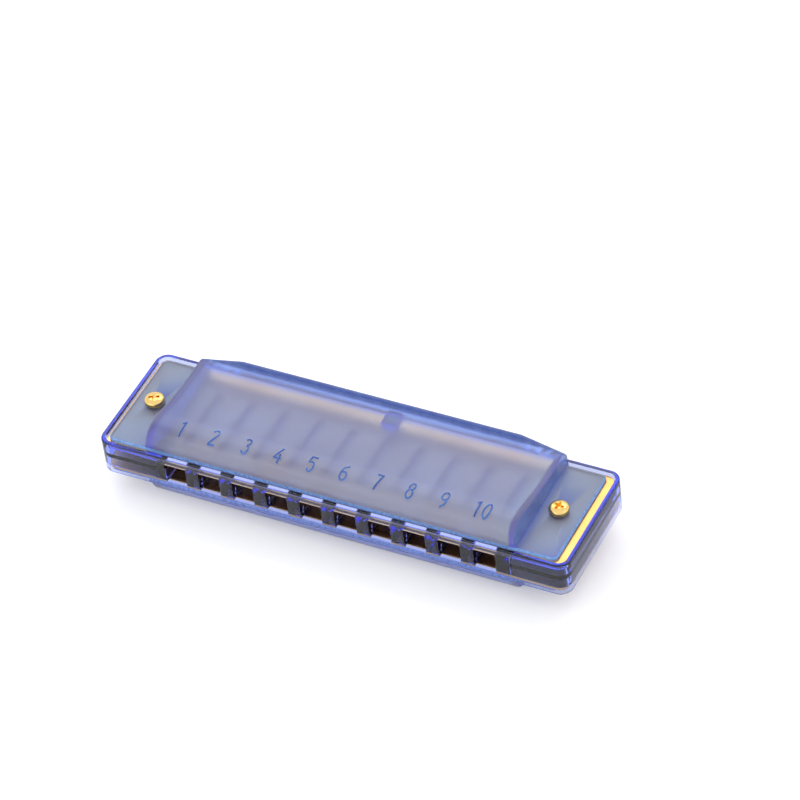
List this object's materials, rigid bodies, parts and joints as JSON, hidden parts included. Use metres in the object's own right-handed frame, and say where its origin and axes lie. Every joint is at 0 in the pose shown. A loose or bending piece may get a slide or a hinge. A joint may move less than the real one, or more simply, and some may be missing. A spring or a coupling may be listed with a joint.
{
  "type": "diatonic harmonica",
  "caption": "Small diatonic harmonica with a clear blue comb, brass reed plates and frosted blue open-back covers held by brass screws.",
  "frame": {"origin": "centre of the comb, which is the centre of the bounding box", "axes": "+X from the lowest hole to the highest hole, -Y the mouth side, +Z out of the blow-side cover"},
  "size_m": [0.1024, 0.0276, 0.0172],
  "materials": {
    "clear_blue": "gloss",
    "frosted_blue": "frosted",
    "plate_brass": "satin",
    "reed_brass": "satin",
    "polished_brass": "polished"
  },
  "bodies": {
    "base": {"comb": "clear_blue", "upper_reed_plate": "plate_brass", "lower_reed_plate": "plate_brass", "top_cover": "frosted_blue", "bottom_cover": "frosted_blue", "screw_left": "polished_brass", "screw_right": "polished_brass", "nut_left": "polished_brass", "nut_right": "polished_brass", "blow_rivet_01": "reed_brass", "blow_rivet_02": "reed_brass", "blow_rivet_03": "reed_brass", "blow_rivet_04": "reed_brass", "blow_rivet_05": "reed_brass", "blow_rivet_06": "reed_brass", "blow_rivet_07": "reed_brass", "blow_rivet_08": "reed_brass", "blow_rivet_09": "reed_brass", "blow_rivet_10": "reed_brass", "draw_rivet_01": "reed_brass", "draw_rivet_02": "reed_brass", "draw_rivet_03": "reed_brass", "draw_rivet_04": "reed_brass", "draw_rivet_05": "reed_brass", "draw_rivet_06": "reed_brass", "draw_rivet_07": "reed_brass", "draw_rivet_08": "reed_brass", "draw_rivet_09": "reed_brass", "draw_rivet_10": "reed_brass"},
    "blow_reed_01_body": {"blow_reed_01": "reed_brass"},
    "blow_reed_02_body": {"blow_reed_02": "reed_brass"},
    "blow_reed_03_body": {"blow_reed_03": "reed_brass"},
    "blow_reed_04_body": {"blow_reed_04": "reed_brass"},
    "blow_reed_05_body": {"blow_reed_05": "reed_brass"},
    "blow_reed_06_body": {"blow_reed_06": "reed_brass"},
    "blow_reed_07_body": {"blow_reed_07": "reed_brass"},
    "blow_reed_08_body": {"blow_reed_08": "reed_brass"},
    "blow_reed_09_body": {"blow_reed_09": "reed_brass"},
    "blow_reed_10_body": {"blow_reed_10": "reed_brass"},
    "draw_reed_01_body": {"draw_reed_01": "reed_brass"},
    "draw_reed_02_body": {"draw_reed_02": "reed_brass"},
    "draw_reed_03_body": {"draw_reed_03": "reed_brass"},
    "draw_reed_04_body": {"draw_reed_04": "reed_brass"},
    "draw_reed_05_body": {"draw_reed_05": "reed_brass"},
    "draw_reed_06_body": {"draw_reed_06": "reed_brass"},
    "draw_reed_07_body": {"draw_reed_07": "reed_brass"},
    "draw_reed_08_body": {"draw_reed_08": "reed_brass"},
    "draw_reed_09_body": {"draw_reed_09": "reed_brass"},
    "draw_reed_10_body": {"draw_reed_10": "reed_brass"}
  },
  "joints": [
    {"name": "blow_reed_01_swing", "type": "hinge", "parent": "base", "child": "blow_reed_01_body", "pos_m": [-0.03375, 0.0066, 0.0023], "axis": [1, 0, 0], "range_deg": [-2, 2], "stiffness_Nm_per_rad": 0.005},
    {"name": "blow_reed_02_swing", "type": "hinge", "parent": "base", "child": "blow_reed_02_body", "pos_m": [-0.02625, 0.0066, 0.0023], "axis": [1, 0, 0], "range_deg": [-2, 2], "stiffness_Nm_per_rad": 0.005},
    {"name": "blow_reed_03_swing", "type": "hinge", "parent": "base", "child": "blow_reed_03_body", "pos_m": [-0.01875, 0.0066, 0.0023], "axis": [1, 0, 0], "range_deg": [-2, 2], "stiffness_Nm_per_rad": 0.005},
    {"name": "blow_reed_04_swing", "type": "hinge", "parent": "base", "child": "blow_reed_04_body", "pos_m": [-0.01125, 0.0066, 0.0023], "axis": [1, 0, 0], "range_deg": [-2, 2], "stiffness_Nm_per_rad": 0.005},
    {"name": "blow_reed_05_swing", "type": "hinge", "parent": "base", "child": "blow_reed_05_body", "pos_m": [-0.00375, 0.0066, 0.0023], "axis": [1, 0, 0], "range_deg": [-2, 2], "stiffness_Nm_per_rad": 0.005},
    {"name": "blow_reed_06_swing", "type": "hinge", "parent": "base", "child": "blow_reed_06_body", "pos_m": [0.00375, 0.0066, 0.0023], "axis": [1, 0, 0], "range_deg": [-2, 2], "stiffness_Nm_per_rad": 0.005},
    {"name": "blow_reed_07_swing", "type": "hinge", "parent": "base", "child": "blow_reed_07_body", "pos_m": [0.01125, 0.0066, 0.0023], "axis": [1, 0, 0], "range_deg": [-2, 2], "stiffness_Nm_per_rad": 0.005},
    {"name": "blow_reed_08_swing", "type": "hinge", "parent": "base", "child": "blow_reed_08_body", "pos_m": [0.01875, 0.0066, 0.0023], "axis": [1, 0, 0], "range_deg": [-2, 2], "stiffness_Nm_per_rad": 0.005},
    {"name": "blow_reed_09_swing", "type": "hinge", "parent": "base", "child": "blow_reed_09_body", "pos_m": [0.02625, 0.0066, 0.0023], "axis": [1, 0, 0], "range_deg": [-2, 2], "stiffness_Nm_per_rad": 0.005},
    {"name": "blow_reed_10_swing", "type": "hinge", "parent": "base", "child": "blow_reed_10_body", "pos_m": [0.03375, 0.0066, 0.0023], "axis": [1, 0, 0], "range_deg": [-2, 2], "stiffness_Nm_per_rad": 0.005},
    {"name": "draw_reed_01_swing", "type": "hinge", "parent": "base", "child": "draw_reed_01_body", "pos_m": [-0.03375, -0.0084, -0.00345], "axis": [1, 0, 0], "range_deg": [-2, 2], "stiffness_Nm_per_rad": 0.005},
    {"name": "draw_reed_02_swing", "type": "hinge", "parent": "base", "child": "draw_reed_02_body", "pos_m": [-0.02625, -0.0084, -0.00345], "axis": [1, 0, 0], "range_deg": [-2, 2], "stiffness_Nm_per_rad": 0.005},
    {"name": "draw_reed_03_swing", "type": "hinge", "parent": "base", "child": "draw_reed_03_body", "pos_m": [-0.01875, -0.0084, -0.00345], "axis": [1, 0, 0], "range_deg": [-2, 2], "stiffness_Nm_per_rad": 0.005},
    {"name": "draw_reed_04_swing", "type": "hinge", "parent": "base", "child": "draw_reed_04_body", "pos_m": [-0.01125, -0.0084, -0.00345], "axis": [1, 0, 0], "range_deg": [-2, 2], "stiffness_Nm_per_rad": 0.005},
    {"name": "draw_reed_05_swing", "type": "hinge", "parent": "base", "child": "draw_reed_05_body", "pos_m": [-0.00375, -0.0084, -0.00345], "axis": [1, 0, 0], "range_deg": [-2, 2], "stiffness_Nm_per_rad": 0.005},
    {"name": "draw_reed_06_swing", "type": "hinge", "parent": "base", "child": "draw_reed_06_body", "pos_m": [0.00375, -0.0084, -0.00345], "axis": [1, 0, 0], "range_deg": [-2, 2], "stiffness_Nm_per_rad": 0.005},
    {"name": "draw_reed_07_swing", "type": "hinge", "parent": "base", "child": "draw_reed_07_body", "pos_m": [0.01125, -0.0084, -0.00345], "axis": [1, 0, 0], "range_deg": [-2, 2], "stiffness_Nm_per_rad": 0.005},
    {"name": "draw_reed_08_swing", "type": "hinge", "parent": "base", "child": "draw_reed_08_body", "pos_m": [0.01875, -0.0084, -0.00345], "axis": [1, 0, 0], "range_deg": [-2, 2], "stiffness_Nm_per_rad": 0.005},
    {"name": "draw_reed_09_swing", "type": "hinge", "parent": "base", "child": "draw_reed_09_body", "pos_m": [0.02625, -0.0084, -0.00345], "axis": [1, 0, 0], "range_deg": [-2, 2], "stiffness_Nm_per_rad": 0.005},
    {"name": "draw_reed_10_swing", "type": "hinge", "parent": "base", "child": "draw_reed_10_body", "pos_m": [0.03375, -0.0084, -0.00345], "axis": [1, 0, 0], "range_deg": [-2, 2], "stiffness_Nm_per_rad": 0.005}
  ]
}
